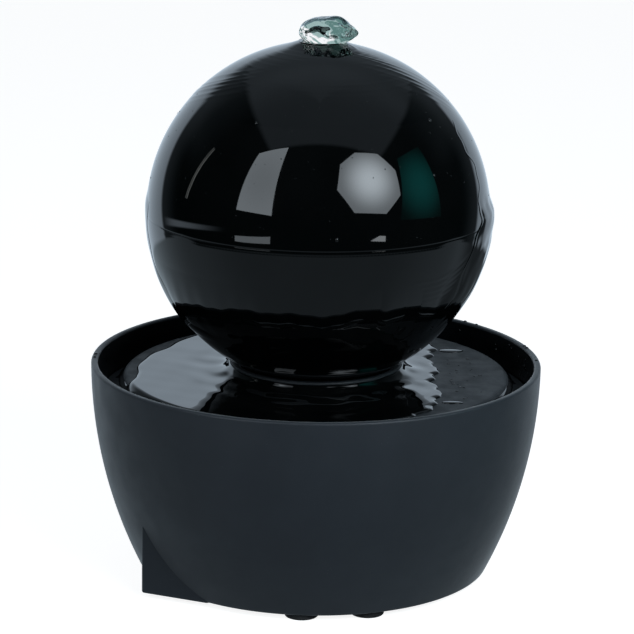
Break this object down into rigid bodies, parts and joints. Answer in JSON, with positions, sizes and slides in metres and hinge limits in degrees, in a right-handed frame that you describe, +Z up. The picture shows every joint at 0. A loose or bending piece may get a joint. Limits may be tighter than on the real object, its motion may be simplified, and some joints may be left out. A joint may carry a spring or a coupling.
{
  "type": "ball fountain with submersible pump",
  "caption": "Ball fountain: a gloss ball on a catch tray in a tapered bowl, fed through a riser pipe by a small submersible pump with an intake filter.",
  "frame": {"origin": "on the ground under the ball's centre, at the underside of the feet", "axes": "+Z up along the riser and the ball's axis, -Y towards the front, +X to the right seen from the front and along the pump towards its intake"},
  "size_m": [0.3, 0.3, 0.3583],
  "materials": {
    "bowl_charcoal": "matte charcoal resin with a fine mineral grain",
    "tray_black": "satin black moulding, wet",
    "ball_gloss": "high gloss black under running water",
    "black_rubber": "matte black rubber",
    "black_plastic": "satin black moulding",
    "pump_abs": "spark-eroded black moulding",
    "riser_pvc": "milky extruded pipe",
    "potting_resin": "poured grey resin",
    "stator_steel": "stacked laminations",
    "bobbin_nylon": "natural nylon",
    "winding_copper": "enamelled copper wire",
    "magnet_ferrite": "ground ferrite",
    "impeller_plastic": "natural acetal",
    "shaft_ceramic": "polished ceramic",
    "contact_brass": "plated contact",
    "nut_steel": "nickel plate",
    "sponge_foam": "open-cell filter foam",
    "dial_grey": "satin grey moulding",
    "lead_pvc": "soft black sheath"
  },
  "bodies": {
    "bowl": {"bowl": "bowl_charcoal", "rubber_feet": "black_rubber", "inlet_socket": "black_plastic", "inlet_pin": "contact_brass", "inlet_seal": "black_rubber", "inlet_nut": "nut_steel", "pump_housing": "pump_abs", "resin_potting": "potting_resin", "pump_gland": "black_rubber", "stator_core": "stator_steel", "coil_bobbin": "bobbin_nylon", "coil_winding": "winding_copper", "impeller_shaft": "shaft_ceramic", "rear_bush": "black_rubber", "front_bush": "black_rubber", "volute_seal": "black_rubber", "volute_cover": "pump_abs", "suction_cups": "black_rubber", "pump_lead": "lead_pvc"},
    "tray": {"tray": "tray_black"},
    "ball": {"lower_shell": "ball_gloss", "upper_shell": "ball_gloss", "equator_ring": "black_plastic", "nozzle": "black_plastic", "nozzle_washer": "black_rubber", "nozzle_nut": "black_plastic", "riser_tube": "riser_pvc", "riser_guide": "black_plastic", "riser_seal": "black_rubber"},
    "rotor": {"rotor_magnet": "magnet_ferrite", "impeller": "impeller_plastic"},
    "intake": {"intake_cover": "pump_abs", "filter_sponge": "sponge_foam"},
    "dial": {"flow_dial": "dial_grey"}
  },
  "joints": [
    {"name": "tray_lift", "type": "slide", "parent": "bowl", "child": "tray", "axis": [0, 0, 1], "range_m": [0, 0.08]},
    {"name": "ball_lift", "type": "slide", "parent": "tray", "child": "ball", "axis": [0, 0, 1], "range_m": [0, 0.08]},
    {"name": "rotor_spin", "type": "hinge", "parent": "bowl", "child": "rotor", "pos_m": [0, 0, 0.04], "axis": [1, 0, 0], "continuous": true},
    {"name": "intake_pull", "type": "slide", "parent": "bowl", "child": "intake", "axis": [1, 0, 0], "range_m": [0, 0.03]},
    {"name": "dial_turn", "type": "hinge", "parent": "intake", "child": "dial", "pos_m": [0.029, 0, 0.04], "axis": [1, 0, 0], "range_deg": [0, 90]}
  ]
}
